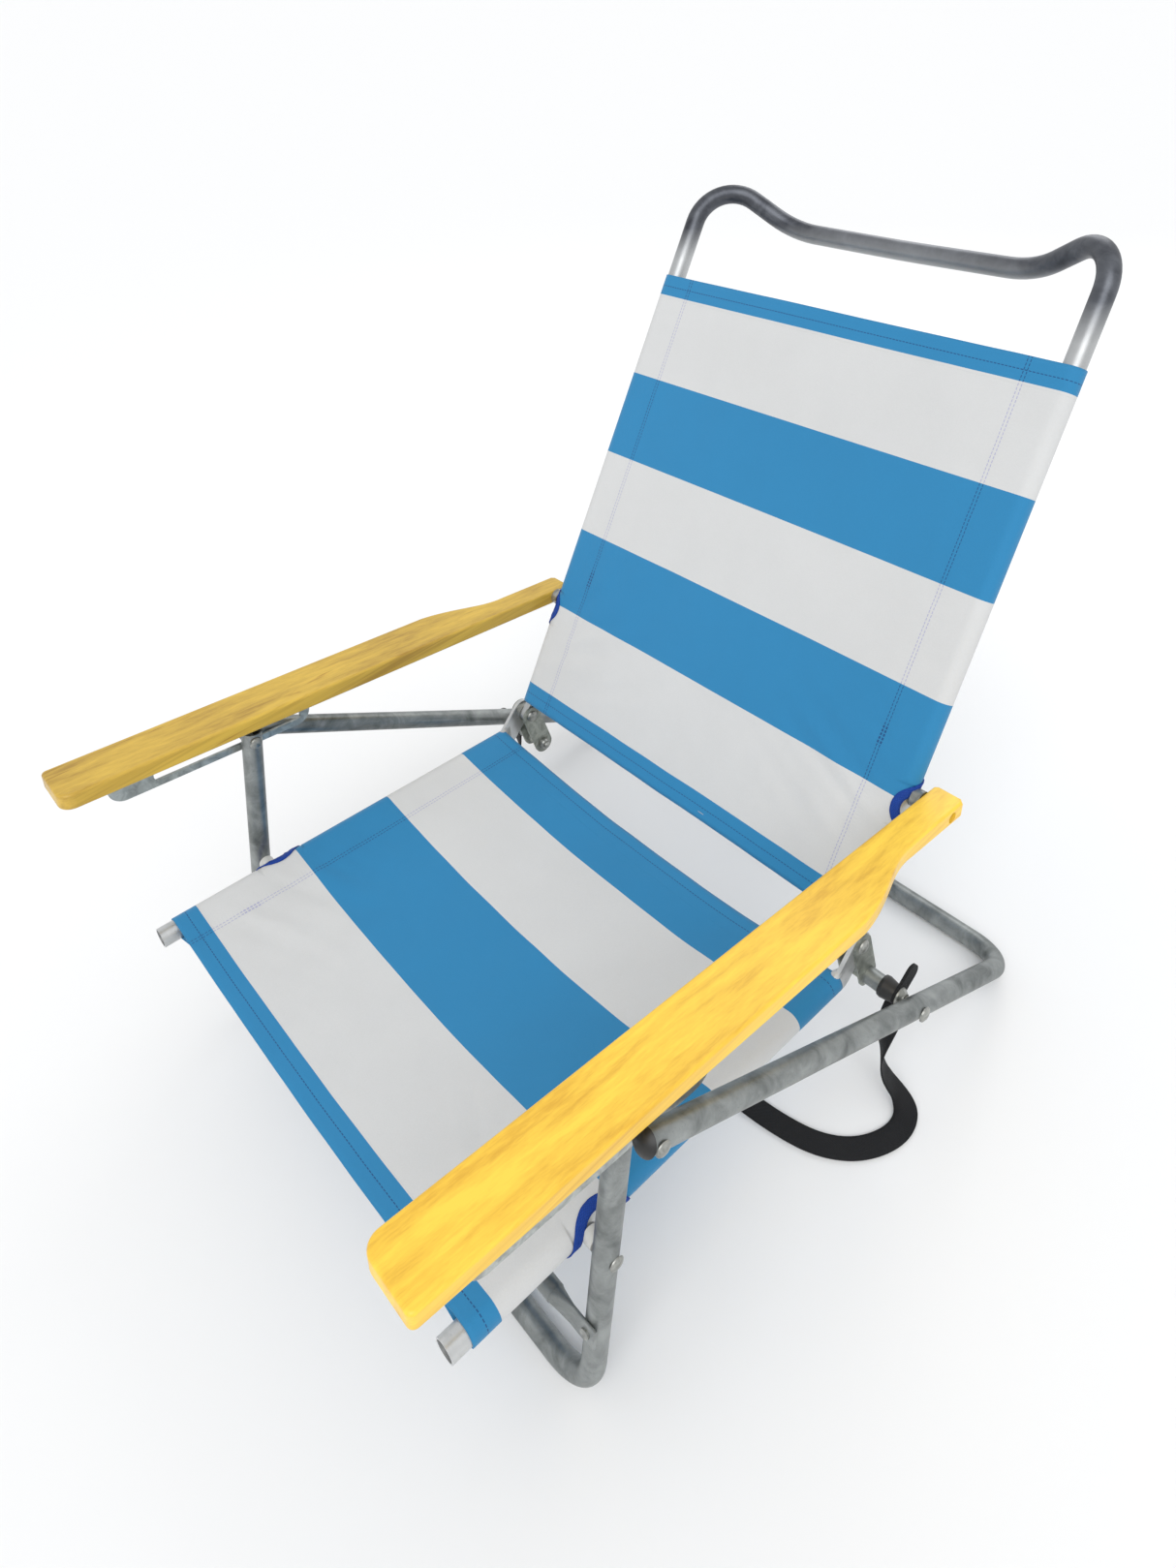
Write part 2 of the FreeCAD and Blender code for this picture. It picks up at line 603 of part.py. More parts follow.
def make_brackets():
    thick = BRACKET[1] - BRACKET[0]
    low = -SLOT_LOW - 7.0
    top = -ARM_THICK / 2
    plate = Part.makeBox(thick, BRACKET_FRONT - BRACKET_REAR, top - low, V(BRACKET[0], BRACKET_REAR, low))
    across = [e for e in plate.Edges if abs(e.tangentAt(e.FirstParameter).x) > 0.9]
    corners = [e for e in across if abs(e.CenterOfMass.z - low) < 0.01]
    plate = plate.makeFillet(16.0, corners)
    shape = plate.fuse(flange_box()).cut(make_slot())
    for a in SCREW_AT:
        shape = shape.cut(bracket_screw(a))
    save_pair("bracket", placed_on_arm(shape.removeSplitter()))


def bracket_screw(a):
    """Countersunk wood screw, head flush with the flange."""
    start = V(SCREW_X, a, -ARM_THICK / 2)
    head = Part.makeCone(3.8, SCREW_R, FLANGE_THICK, start, V(0, 0, 1))
    shank = Part.makeCylinder(SCREW_R, 12.0, start, V(0, 0, 1))
    return head.fuse(shank).removeSplitter()


def make_bracket_screws():
    for name, a in zip(("rear", "front"), SCREW_AT):
        save_pair("bracket_screw_" + name, placed_on_arm(bracket_screw(a)))


# ---- soft parts ----------------------------------------------------------------


SLEEVE_BORE = TUBE_R + SLEEVE_GAP


def sling_face(half, sag, place):
    """Cross section of the panel between the two sleeves, sagging in the middle."""
    steps = 8
    upper, lower = [], []
    for i in range(-steps, steps + 1):
        k = i / steps
        x = k * (half - 3.0)
        height = SLEEVE_BORE + FABRIC - 0.1 - sag * (1 - k * k)
        upper.append(place(x, height))
        lower.append(place(x, height - FABRIC))
    top = Part.BSplineCurve()
    top.interpolate(upper)
    bottom = Part.BSplineCurve()
    bottom.interpolate(lower)
    edges = [
        top.toShape(),
        Part.LineSegment(upper[-1], lower[-1]).toShape(),
        bottom.toShape(),
        Part.LineSegment(lower[0], upper[0]).toShape(),
    ]
    return Part.Face(Part.Wire(edges))


def sling(half, sag, place, along, length):
    """Panel plus two tubular sleeves, pulled along the side tubes."""
    shape = sling_face(half, sag, place).extrude(along * length)
    starts = [place(side * half, 0) for side in (1, -1)]
    sleeves = [Part.makeCylinder(SLEEVE_BORE + FABRIC, length, start, along) for start in starts]
    shape = shape.fuse(sleeves)
    for start in starts:
        shape = shape.cut(Part.makeCylinder(SLEEVE_BORE, length + 2.0, start - along, along))
    return shape


SEAT_SLING = (16.0, 414.0)     # along the seat tubes
SEAT_SAG = 26.0
BACK_SLING = (16.0, 538.0)     # up the back tubes
BACK_SAG = 0.0
SEAT_CUT = (104.0, 158.0)      # sleeve openings round the leg pivot
BACK_CUT = (112.0, 158.0)      # sleeve openings round the arm pivot
OPENING_INSET = 4.0            # an opening starts this far inside the tube's centre
OPENING_REACH = 16.0
PIN_CLEAR_R = 8.0              # hole in a sleeve round a pin


def sleeve_openings(point, x, s0, s1):
    """Cutters that open both sleeves from the outside."""
    along = (point(0, 1, 0) - point(0, 0, 0)).normalize()
    up = (point(0, 0, 1) - point(0, 0, 0)).normalize()
    boxes = []
    for side in (1, -1):
        corner = point(side * (x - OPENING_INSET), s0, 0.0) - up * OPENING_REACH
        out = V(side, 0, 0) * 30.0
        rise = up * 2 * OPENING_REACH
        edges = [corner, corner + out, corner + out + rise, corner + rise, corner]
        boxes.append(Part.Face(Part.makePolygon(edges)).extrude(along * (s1 - s0)))
    return boxes[0].fuse(boxes[1])


def make_slings():
    t0, t1 = SEAT_SLING
    along = (seat_point(0, 1) - seat_point(0, 0)).normalize()
    seat = sling(SEAT_X, SEAT_SAG, lambda x, h: seat_point(x, t0, h), along, t1 - t0)
    seat = seat.cut(sleeve_openings(seat_point, SEAT_X, *SEAT_CUT))
    for hole in both_sides(SEAT_X - 18, SEAT_X - 2, SEAT_PIN[0], SEAT_PIN[1], PIN_CLEAR_R):
        seat = seat.cut(hole)
    save("seat_sling", seat)
    s0, s1 = BACK_SLING
    along = (back_point(0, 1) - back_point(0, 0)).normalize()
    back = sling(BACK_X, BACK_SAG, lambda x, h: back_point(x, s0, -h), along, s1 - s0)
    back = back.cut(sleeve_openings(back_point, BACK_X, *BACK_CUT))
    back = back.cut(lower_corner_room())
    for hole in both_sides(BACK_X - 18, BACK_X - 2, ARM_PIVOT.y, ARM_PIVOT.z, PIN_CLEAR_R):
        back = back.cut(hole)
    save("back_sling", back)


def lower_corner_room():
    """Space taken by the back frame and its lugs inside the back sling."""
    lug = back_lug(LUG_R + 0.5, 0.5)
    return back_loop(TUBE_R + SLEEVE_GAP / 2).fuse([lug, lug.mirror(V(0, 0, 0), V(1, 0, 0))])


# ---- carrying strap ------------------------------------------------------------
STRAP_R = 5.0
STRAP_POINTS = [
    (283.5, 43.4, 109.2), (281.0, 30.6, 86.0), (283.0, 21.6, 58.0), (290.0, 19.6, 34.0),
    (303.0, 25.6, 17.0), (317.0, 20.6, 9.4), (322.0, 0.6, 8.3), (315.0, -23.4, 8.6),
    (299.0, -45.4, 8.3), (273.0, -62.4, 8.6), (238.0, -71.4, 8.3), (198.0, -76.4, 8.6),
    (156.0, -78.4, 8.3), (110.0, -77.4, 8.6), (64.0, -72.4, 8.3), (18.0, -63.4, 8.6),
    (-30.0, -54.4, 8.3), (-78.0, -47.4, 8.6), (-124.0, -38.4, 9.0), (-166.0, -25.4, 12.0),
    (-204.0, -7.4, 21.0), (-238.0, 12.6, 40.0), (-266.0, 32.6, 64.0), (-281.0, 42.6, 88.0),
    (-283.5, 43.4, 109.2),
]


def make_strap():
    """Webbing carrying strap from one hinge pin down to the ground and up to the other."""
    points = [V(*p) for p in STRAP_POINTS]
    radii = []
    for i in range(1, len(points) - 1):
        turn = turn_between(points[i - 1], points[i], points[i + 1])
        run = min((points[i] - points[i - 1]).Length, (points[i + 1] - points[i]).Length)
        radii.append(0.45 * run / math.tan(turn / 2))
    bar, length = pipe(points, radii, STRAP_R)
    print("strap length", round(length, 1), "radii", [round(r) for r in radii])
    print("strap volume over section times length", round(bar.Volume / (math.pi * STRAP_R ** 2 * length), 4))
    save("strap", bar)


def main():
    make_back_frame()
    make_seat_tubes()
    make_front_leg()
    make_front_brace()
    make_brace_rivets()
    make_rear_leg()
    make_rear_caps()
    make_hinge_plates()
    make_hinge_rivets()
    make_plate_pins()
    make_plastic_spacers()
    make_strap_tabs()
    make_leg_pins()
    make_seat_pins()
    make_arm_bolts()
    make_arms()
    make_brackets()
    make_bracket_screws()
    make_slings()
    make_strap()


main()
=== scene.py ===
import bpy
import math
from mathutils import Matrix, Vector, noise


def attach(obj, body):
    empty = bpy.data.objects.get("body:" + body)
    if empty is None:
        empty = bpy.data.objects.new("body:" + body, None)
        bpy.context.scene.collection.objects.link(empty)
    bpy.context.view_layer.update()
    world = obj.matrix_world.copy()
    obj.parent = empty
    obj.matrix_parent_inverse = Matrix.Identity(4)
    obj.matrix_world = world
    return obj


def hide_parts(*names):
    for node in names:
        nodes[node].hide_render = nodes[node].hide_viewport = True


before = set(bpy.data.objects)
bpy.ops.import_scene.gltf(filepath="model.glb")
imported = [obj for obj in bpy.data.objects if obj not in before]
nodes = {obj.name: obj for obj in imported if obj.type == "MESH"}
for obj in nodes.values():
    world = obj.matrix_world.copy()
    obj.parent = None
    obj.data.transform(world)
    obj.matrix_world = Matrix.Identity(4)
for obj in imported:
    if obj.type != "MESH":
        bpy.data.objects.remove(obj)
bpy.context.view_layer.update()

# Row frame in metres: +Z up, the sitter faces -Y, +X is the sitter's left.

# ---- sizes the fabric follows -----------------------------------------------------
TUBE_R = 0.010
SEAT_X = 0.242
BACK_X = 0.2325
RECLINE = math.radians(33.5)           # back angle from vertical
HINGE = (0.0346, 0.1713)               # y, z of the back hinge rivet
SEAT_FRONT = (-0.4194, 0.1803)         # y, z of the open front end of the seat tubes
SEAT_SLOPE = math.atan2(0.0342, 0.454)
ARM_TILT = math.radians(7.77)
STITCH_INSET = 0.032                   # sleeve stitching, inboard of the tube's centre
WRAP_R = TUBE_R + 0.0009               # radius of the cloth's middle layer round a tube


def fade(value, start, end):
    """0 at start and before it, 1 at end and past it, even in between."""
    return min(1.0, max(0.0, (value - start) / (end - start)))


def seat_place(x, t, lift):
    """Point by t from the front end of the seat tubes and lift square to the seat."""
    y = SEAT_FRONT[0] + t * math.cos(SEAT_SLOPE) + lift * math.sin(SEAT_SLOPE)
    z = SEAT_FRONT[1] - t * math.sin(SEAT_SLOPE) + lift * math.cos(SEAT_SLOPE)
    return Vector((x, y, z))


def back_place(x, s, lift):
    """Point by s up from the hinge and lift forward, square to the back."""
    y = HINGE[0] + s * math.sin(RECLINE) - lift * math.cos(RECLINE)
    z = HINGE[1] + s * math.cos(RECLINE) + lift * math.sin(RECLINE)
    return Vector((x, y, z))


# ---- camera -------------------------------------------------------------------------


def make_camera():
    """Camera at the place, turn and lens that match the photographed view."""
    eye = Vector((0.6022, -0.4861, 0.9928))
    target = Vector((0.0433, -0.0300, 0.5368))
    roll = -0.1172
    ahead = (target - eye).normalized()
    right = ahead.cross(Vector((0, 0, 1))).normalized()
    up = right.cross(ahead)
    turned_right = math.cos(roll) * right + math.sin(roll) * up
    turned_up = -math.sin(roll) * right + math.cos(roll) * up
    data = bpy.data.cameras.new("camera")
    data.sensor_width = 36.0
    data.lens = 24.12
    data.shift_x = -0.0172
    data.shift_y = -0.1433
    data.clip_start = 0.02
    camera = bpy.data.objects.new("camera", data)
    axes = Matrix((turned_right, turned_up, -ahead)).transposed()
    camera.matrix_world = Matrix.Translation(eye) @ axes.to_4x4()
    bpy.context.scene.collection.objects.link(camera)
    bpy.context.scene.camera = camera


# ---- shader building ------------------------------------------------------------------


class Graph:
    """Short way to build a material's nodes."""

    def __init__(self, name):
        self.material = bpy.data.materials.new(name)
        self.material.use_nodes = True
        self.tree = self.material.node_tree
        self.shader = self.tree.nodes["Principled BSDF"]

    def feed(self, socket, value):
        """Link a socket to another, or set its constant."""
        if isinstance(value, bpy.types.NodeSocket):
            self.tree.links.new(value, socket)
        elif isinstance(value, tuple) and len(value) == 3 and socket.type == "RGBA":
            socket.default_value = (*value, 1.0)
        else:
            socket.default_value = value

    def surface(self, **values):
        """Set inputs of the Principled shader; spaces are written as underscores."""
        for name, value in values.items():
            self.feed(self.shader.inputs[name.replace("_", " ")], value)

    def math(self, operation, a, b=0.0):
        """One operation on one or two numbers."""
        node = self.tree.nodes.new("ShaderNodeMath")
        node.operation = operation
        self.feed(node.inputs[0], a)
        self.feed(node.inputs[1], b)
        return node.outputs[0]

    def mix(self, factor, a, b, mode="MIX"):
        """Blend colour a with colour b."""
        node = self.tree.nodes.new("ShaderNodeMix")
        node.data_type = "RGBA"
        node.blend_type = mode
        self.feed(node.inputs["Factor"], factor)
        self.feed(node.inputs[6], a)
        self.feed(node.inputs[7], b)
        return node.outputs[2]

    def ramp(self, value, stops, steps=False):
        """Colour ramp; stops are (position, colour)."""
        node = self.tree.nodes.new("ShaderNodeValToRGB")
        ramp = node.color_ramp
        ramp.interpolation = "CONSTANT" if steps else "LINEAR"
        while len(ramp.elements) < len(stops):
            ramp.elements.new(1.0)
        for element, (position, colour) in zip(ramp.elements, stops):
            element.position = position
            element.color = (*colour, 1.0)
        self.feed(node.inputs[0], value)
        return node.outputs[0]

    def grey(self, value, low, high):
        """Rescale 0..1 to low..high."""
        node = self.tree.nodes.new("ShaderNodeMapRange")
        self.feed(node.inputs["Value"], value)
        node.inputs["To Min"].default_value = low
        node.inputs["To Max"].default_value = high
        return node.outputs[0]

    def window(self, value, low, high, soft):
        """1 where value lies between low and high, falling to 0 over soft."""
        rise = self.tree.nodes.new("ShaderNodeMapRange")
        self.feed(rise.inputs["Value"], value)
        rise.inputs["From Min"].default_value = low - soft
        rise.inputs["From Max"].default_value = low + soft
        fall = self.tree.nodes.new("ShaderNodeMapRange")
        self.feed(fall.inputs["Value"], value)
        fall.inputs["From Min"].default_value = high + soft
        fall.inputs["From Max"].default_value = high - soft
        return self.math("MULTIPLY", rise.outputs[0], fall.outputs[0])

    def uv(self):
        """Separate coordinates of the cloth: across and along, in metres."""
        node = self.tree.nodes.new("ShaderNodeUVMap")
        node.uv_map = "cloth"
        across, along, _ = self.split(node.outputs[0])
        return across, along

    def split(self, vector):
        """The three numbers of a vector."""
        node = self.tree.nodes.new("ShaderNodeSeparateXYZ")
        self.tree.links.new(vector, node.inputs[0])
        return tuple(node.outputs)

    def place(self, stretch=(1.0, 1.0, 1.0), turn=0.0):
        """Row frame coordinates, turned about X and stretched."""
        where = self.tree.nodes.new("ShaderNodeTexCoord")
        node = self.tree.nodes.new("ShaderNodeMapping")
        node.inputs["Rotation"].default_value = (turn, 0.0, 0.0)
        node.inputs["Scale"].default_value = stretch
        self.tree.links.new(where.outputs["Object"], node.inputs["Vector"])
        return node.outputs[0]

    def noise(self, vector, scale, detail, rough, warp=0.0):
        """Cloudy pattern from 0 to 1."""
        node = self.tree.nodes.new("ShaderNodeTexNoise")
        self.feed(node.inputs["Vector"], vector)
        node.inputs["Scale"].default_value = scale
        node.inputs["Detail"].default_value = detail
        node.inputs["Roughness"].default_value = rough
        node.inputs["Distortion"].default_value = warp
        return node.outputs["Fac"]

    def bump(self, height, strength, distance):
        """Surface relief from a height."""
        node = self.tree.nodes.new("ShaderNodeBump")
        self.feed(node.inputs["Height"], height)
        node.inputs["Strength"].default_value = strength
        node.inputs["Distance"].default_value = distance
        return node.outputs[0]


# ---- fabric finishes ---------------------------------------------------------------

WHITE_CLOTH = (0.62, 0.625, 0.625)
BLUE_CLOTH = (0.0215, 0.215, 0.44)
THREAD_ON_BLUE = (0.008, 0.050, 0.17)
THREAD_ON_WHITE = (0.36, 0.36, 0.56)
BINDING_BLUE = (0.009, 0.050, 0.30)

STITCH_PITCH = 0.0036
STITCH_FILLED = 0.68       # share of the pitch that the thread covers
ROW_GAP = 0.0032           # between the two rows of a seam
HEM = 0.025                # depth of the folded hems
TACK_REACH = 0.010         # half the length that is sewn over twice


def dashes(g, value, filled):
    """1 on the thread, 0 between stitches, along a coordinate in metres."""
    phase = g.math("FRACT", g.math("DIVIDE", value, STITCH_PITCH))
    return g.math("LESS_THAN", phase, filled)


def thread_rows(g, value, places, thick):
    """1 within thick of either of two places, 0 elsewhere."""
    rows = []
    for at in places:
        off = g.math("ABSOLUTE", g.math("SUBTRACT", value, at))
        rows.append(g.math("LESS_THAN", off, thick))
    return g.math("MAXIMUM", *rows)


def cloth_material(name, ends, stripes, seam, tack):
    """Striped plain weave. stripes are the blue bands, seam the sleeve stitch line.

    tack is the place along the cloth where the seams are sewn over twice.
    """
    g = Graph(name)
    across, along = g.uv()
    length = ends[1] - ends[0]
    fraction = g.math("DIVIDE", g.math("SUBTRACT", along, ends[0]), length)
    stops = [(0.0, (1, 1, 1) if stripes[0][0] <= ends[0] else (0, 0, 0))]
    for start, end in stripes:
        if start > ends[0]:
            stops.append(((start - ends[0]) / length, (1, 1, 1)))
        if end < ends[1]:
            stops.append(((end - ends[0]) / length, (0, 0, 0)))
    blue = g.ramp(fraction, stops, steps=True)

    side = g.math("ABSOLUTE", across)
    tacked = g.window(along, tack - TACK_REACH, tack + TACK_REACH, 0.001)
    seam_thick = g.grey(tacked, 0.00040, 0.00095)
    seams = thread_rows(g, side, (seam, seam - ROW_GAP), seam_thick)
    seams = g.math("MULTIPLY", seams, dashes(g, along, STITCH_FILLED))
    hems = thread_rows(g, along, (ends[0] + HEM / 2, ends[1] - HEM / 2), 0.00042)
    hems = g.math("MULTIPLY", hems, dashes(g, across, STITCH_FILLED))
    stitch = g.math("MAXIMUM", seams, hems)

    warp = g.math("SINE", g.math("MULTIPLY", across, 2 * math.pi / 0.00105))
    weft = g.math("SINE", g.math("MULTIPLY", along, 2 * math.pi / 0.00095))
    weave = g.math("MULTIPLY", warp, weft)
    slub = g.noise(g.place(), 900.0, 2.0, 0.7)
    soil = g.noise(g.place(), 9.0, 5.0, 0.65)
    shade = g.math("ADD", g.grey(soil, 0.93, 1.04), g.math("MULTIPLY", weave, 0.028))
    shade = g.math("ADD", shade, g.grey(slub, -0.05, 0.05))
    colour = g.mix(blue, WHITE_CLOTH, BLUE_CLOTH)
    colour = g.mix(1.0, colour, grey_colour(g, shade), "MULTIPLY")
    thread = g.mix(blue, THREAD_ON_WHITE, THREAD_ON_BLUE)
    colour = g.mix(g.math("MULTIPLY", stitch, 0.85), colour, thread)

    height = g.math("ADD", g.math("MULTIPLY", weave, 0.10), g.math("MULTIPLY", slub, 0.12))
    height = g.math("SUBTRACT", height, g.math("MULTIPLY", stitch, 0.55))
    by_seam = g.window(side, seam - 0.006, seam + 0.006, 0.004)
    puckers = g.math("MULTIPLY", by_seam, dashes(g, along, 0.5))
    height = g.math("ADD", height, g.math("MULTIPLY", puckers, 0.10))
    from_middle = g.math("ABSOLUTE", g.math("SUBTRACT", fraction, 0.5))
    hem_edge = g.math("GREATER_THAN", from_middle, 0.5 - HEM / length)
    height = g.math("ADD", height, g.math("MULTIPLY", hem_edge, 0.9))
    g.surface(Base_Color=colour, Roughness=0.62, Normal=g.bump(height, 0.55, 0.0009))
    g.surface(Sheen_Weight=0.12, Specular_IOR_Level=0.28)
    return g.material


def grey_colour(g, value):
    """Grey of a given value as a colour."""
    node = g.tree.nodes.new("ShaderNodeCombineColor")
    for socket in node.inputs[:3]:
        g.feed(socket, value)
    return node.outputs[0]


def webbing_material(name, colour, rib, on_cad=False):
    """Ribbed woven tape; rib is the pitch of its cross ribs.

    A CAD node has no cloth coordinates, so there the ribs follow the row frame.
    """
    g = Graph(name)
    across, along = g.split(g.place())[1:] if on_cad else g.uv()
    ribs = g.math("SINE", g.math("MULTIPLY", along, 2 * math.pi / rib))
    rows = g.math("SINE", g.math("MULTIPLY", across, 2 * math.pi / 0.0016))
    weave = g.math("MULTIPLY", ribs, rows)
    fuzz = g.noise(g.place(), 1200.0, 2.0, 0.7)
    shade = g.math("ADD", g.grey(fuzz, 0.75, 1.25), g.math("MULTIPLY", weave, 0.16))
    g.surface(Base_Color=g.mix(1.0, colour, grey_colour(g, shade), "MULTIPLY"), Roughness=0.55)
    g.surface(Normal=g.bump(g.math("ADD", weave, fuzz), 0.6, 0.0004), Specular_IOR_Level=0.2)
    return g.material


# ---- hard finishes -----------------------------------------------------------------


def tube_material(name, dark, bright, rough, sheltered_below=0.0):
    """Oxidised aluminium, mottled and pitted; cleaner below a height where fabric covered it."""
    g = Graph(name)
    cloud = g.noise(g.place(), 38.0, 6.0, 0.62, 0.6)
    patch = g.noise(g.place(), 9.0, 3.0, 0.5)
    grain = g.noise(g.place(), 420.0, 3.0, 0.7)
    tone = g.math("ADD", g.math("MULTIPLY", cloud, 0.62), g.math("MULTIPLY", patch, 0.38))
    colour = g.ramp(tone, [(0.32, dark), (0.66, bright)])
    speck = g.ramp(grain, [(0.62, (1, 1, 1)), (0.78, (0.72, 0.72, 0.70))])
    colour = g.mix(1.0, colour, speck, "MULTIPLY")
    if sheltered_below > 0:
        height = g.split(g.place())[2]
        sheltered = g.window(height, -1.0, sheltered_below, 0.015)
        colour = g.mix(g.math("MULTIPLY", sheltered, 0.75), colour, (0.60, 0.61, 0.61))
    worn = g.math("ADD", g.grey(cloud, rough - 0.10, rough + 0.14), g.grey(grain, -0.04, 0.04))
    g.surface(Base_Color=colour, Metallic=0.85, Roughness=worn)
    g.surface(Normal=g.bump(g.math("ADD", cloud, g.math("MULTIPLY", grain, 0.5)), 0.12, 0.0006))
    return g.material


def steel_material(name, dark, bright, rough):
    """Dull zinc plated sheet and fasteners."""
    g = Graph(name)
    cloud = g.noise(g.place(), 95.0, 5.0, 0.6, 0.8)
    grain = g.noise(g.place(), 700.0, 2.0, 0.6)
    colour = g.ramp(cloud, [(0.34, dark), (0.64, bright)])
    g.surface(Base_Color=colour, Metallic=0.8, Roughness=g.grey(cloud, rough - 0.08, rough + 0.16))
    g.surface(Normal=g.bump(grain, 0.10, 0.0004))
    return g.material


def plastic_material(name, colour, rough):
    """Moulded plastic, faintly cloudy."""
    g = Graph(name)
    cloud = g.noise(g.place(), 160.0, 4.0, 0.6)
    tone = g.mix(g.grey(cloud, 0.0, 0.5), colour, tuple(c * 1.8 + 0.01 for c in colour))
    g.surface(Base_Color=tone, Roughness=g.grey(cloud, rough - 0.08, rough + 0.12))
    g.surface(Normal=g.bump(cloud, 0.08, 0.0006))
    return g.material


def wood_material(name, pale, deep, knots):
    """Varnished board with long fine grain along the arm; more flecks as knots is lower."""
    g = Graph(name)
    figure = g.noise(g.place((60.0, 2.6, 60.0), ARM_TILT), 1.0, 3.0, 0.5, 0.5)
    streaks = g.noise(g.place((230.0, 5.0, 230.0), ARM_TILT), 1.0, 3.0, 0.6, 0.3)
    pores = g.noise(g.place((900.0, 26.0, 900.0), ARM_TILT), 1.0, 2.0, 0.6)
    tone = g.math("ADD", g.math("MULTIPLY", figure, 0.50), g.math("MULTIPLY", streaks, 0.34))
    tone = g.math("ADD", tone, g.math("MULTIPLY", pores, 0.16))
    middle = tuple((a + b) / 2 for a, b in zip(pale, deep))
    colour = g.ramp(tone, [(0.36, deep), (0.46, middle), (0.60, pale)])
    fleck = g.noise(g.place((42.0, 4.0, 42.0), ARM_TILT), 1.0, 3.0, 0.6, 1.2)
    spots = g.ramp(fleck, [(knots, (1, 1, 1)), (knots + 0.10, (0.60, 0.46, 0.30))])
    colour = g.mix(1.0, colour, spots, "MULTIPLY")
    g.surface(Base_Color=colour, Roughness=g.grey(figure, 0.30, 0.46), Coat_Weight=0.10, Coat_Roughness=0.25)
    g.surface(Normal=g.bump(pores, 0.10, 0.0003))
    return g.material


# ---- slings --------------------------------------------------------------------------


LAYER_GAP = 0.0016     # from the panel down to the sleeve's lower layer
NEAR_TUBE = 0.050      # beside a tube the mesh is finer and the creases fade
NORMAL_STEP = 0.0006   # across distance over which the cloth's direction is measured


class Sling:
    """Fabric panel with a sleeve round each side tube, as a surface of (across, along).

    half is the distance from the middle to a tube, pulled_at the place along the
    cloth where its notches draw it into folds.
    """

    def __init__(self, place, half, ends, sag, seed, pulled_at):
        self.place = place
        self.half = half
        self.ends = ends
        self.sag = sag
        self.seed = seed
        self.pulled_at = pulled_at

    def lean(self, t):
        """Angle at which the panel leaves the tube."""
        return math.atan(2 * self.sag(t) / self.half)

    def panel_edge(self, t):
        """Across distance at which the panel meets the tube."""
        return self.half - WRAP_R * math.sin(self.lean(t))

    def reach(self, t):
        """Distance across the cloth from its middle to the stitched end of the sleeve."""
        return self.panel_edge(t) + WRAP_R * (self.lean(t) + math.pi) + self.under_run(t)[1]

    def under_run(self, t):
        """End point (x, lift) and length of the lower layer of the sleeve."""
        x = self.half - STITCH_INSET
        lift = self.panel_lift(x, t) - LAYER_GAP
        return (x, lift), math.hypot(STITCH_INSET, lift + WRAP_R)

    def panel_lift(self, x, t):
        """Height of the sagging panel over the plane of the tubes."""
        edge = self.panel_edge(t)
        return WRAP_R * math.cos(self.lean(t)) - self.sag(t) * (1 - (x / edge) ** 2)

    def section(self, u, t):
        """(x, lift) at distance u across the cloth, u positive."""
        edge = self.panel_edge(t)
        if u <= edge:
            return u, self.panel_lift(u, t)
        turned = (u - edge) / WRAP_R
        sweep = self.lean(t) + math.pi
        if turned <= sweep:
            angle = math.pi / 2 + self.lean(t) - turned
            return self.half + WRAP_R * math.cos(angle), WRAP_R * math.sin(angle)
        (x, lift), run = self.under_run(t)
        k = min((u - edge - WRAP_R * sweep) / run, 1.0)
        return self.half + k * (x - self.half), -WRAP_R + k * (lift + WRAP_R)

    def ripple(self, u, t):
        """Small creases: soft waves, puckers at the seams and folds by the notches."""
        soft = noise.noise(Vector((u * 7.0, t * 4.0, self.seed)))
        fine = noise.noise(Vector((u * 26.0, t * 12.0, self.seed + 7.0)))
        near_seam = math.exp(-((abs(u) - self.half + STITCH_INSET) / 0.03) ** 2)
        pucker = noise.noise(Vector((u * 30.0, t * 55.0, self.seed + 3.0)))
        free = fade(abs(u), self.half, self.half - NEAR_TUBE)
        pulled = math.exp(-((t - self.pulled_at) / 0.07) ** 2 - ((self.half - abs(u)) / 0.11) ** 2)
        fold = noise.noise(Vector(((0.5 * abs(u) + t) * 60.0, u * 9.0, self.seed + 5.0)))
        creases = 0.0020 * soft + 0.0008 * fine + 0.0026 * pulled * fold
        return free * creases + 0.0005 * near_seam * pucker

    def point(self, u, t, raise_by=0.0):
        """Point of the cloth; raise_by lifts it off the surface."""
        side = 1.0 if u >= 0 else -1.0
        x, lift = self.section(abs(u), t)
        near = self.section(max(abs(u) - NORMAL_STEP, 0.0), t)
        far = self.section(abs(u) + NORMAL_STEP, t)
        run = math.hypot(far[0] - near[0], far[1] - near[1])
        out = (-(far[1] - near[1]) / run, (far[0] - near[0]) / run)
        grow = raise_by + (self.ripple(u, t) if abs(u) < self.half else 0.0)
        return self.place(side * (x + out[0] * grow), t, lift + out[1] * grow)


def spread(low, high, step):
    """Evenly spaced values from low to high, both included."""
    count = max(1, round((high - low) / step))
    return [low + (high - low) * i / count for i in range(count + 1)]


def grid_mesh(name, rows):
    """Mesh from rows of (point, (u, v))."""
    wide = len(rows[0])
    points = [point for row in rows for point, _ in row]
    coords = [uv for row in rows for _, uv in row]
    faces = []
    for i in range(len(rows) - 1):
        for j in range(wide - 1):
            a = i * wide + j
            faces.append((a, a + 1, a + 1 + wide, a + wide))
    return finish_mesh(bpy.data.meshes.new(name), points, faces, coords)


